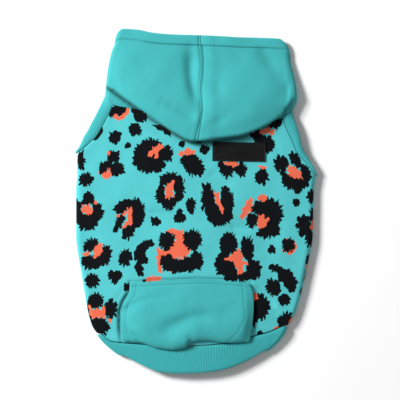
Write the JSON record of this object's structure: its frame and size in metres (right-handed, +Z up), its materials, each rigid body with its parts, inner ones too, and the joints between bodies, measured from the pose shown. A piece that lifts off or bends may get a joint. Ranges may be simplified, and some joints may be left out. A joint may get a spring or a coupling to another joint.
{
  "type": "dog hoodie",
  "caption": "Sleeveless fleece dog hoodie laid flat, back side up: seamed hood sagging over the neck, spotted back, bound armholes, open-sided pocket and ribbed waistband.",
  "frame": {"origin": "middle of the outline on the floor that the hoodie lies on", "axes": "+Z up from the floor through the belly to the back, +Y from the waistband to the hood, +X across the back, to the right as seen from above"},
  "size_m": [0.2436, 0.3444, 0.0262],
  "materials": {
    "teal_fleece": "matt soft fleece",
    "printed_fleece": "matt fleece with a printed leopard pattern in black and coral",
    "teal_rib": "matt ribbed knit",
    "black_label": "smooth woven label"
  },
  "bodies": {
    "root": {"back_panel": "printed_fleece", "belly_panel": "teal_fleece", "hood_left": "teal_fleece", "hood_right": "teal_fleece", "armhole_binding_left": "teal_fleece", "armhole_binding_right": "teal_fleece", "waistband": "teal_rib", "pocket": "teal_fleece", "label": "black_label"}
  },
  "joints": []
}
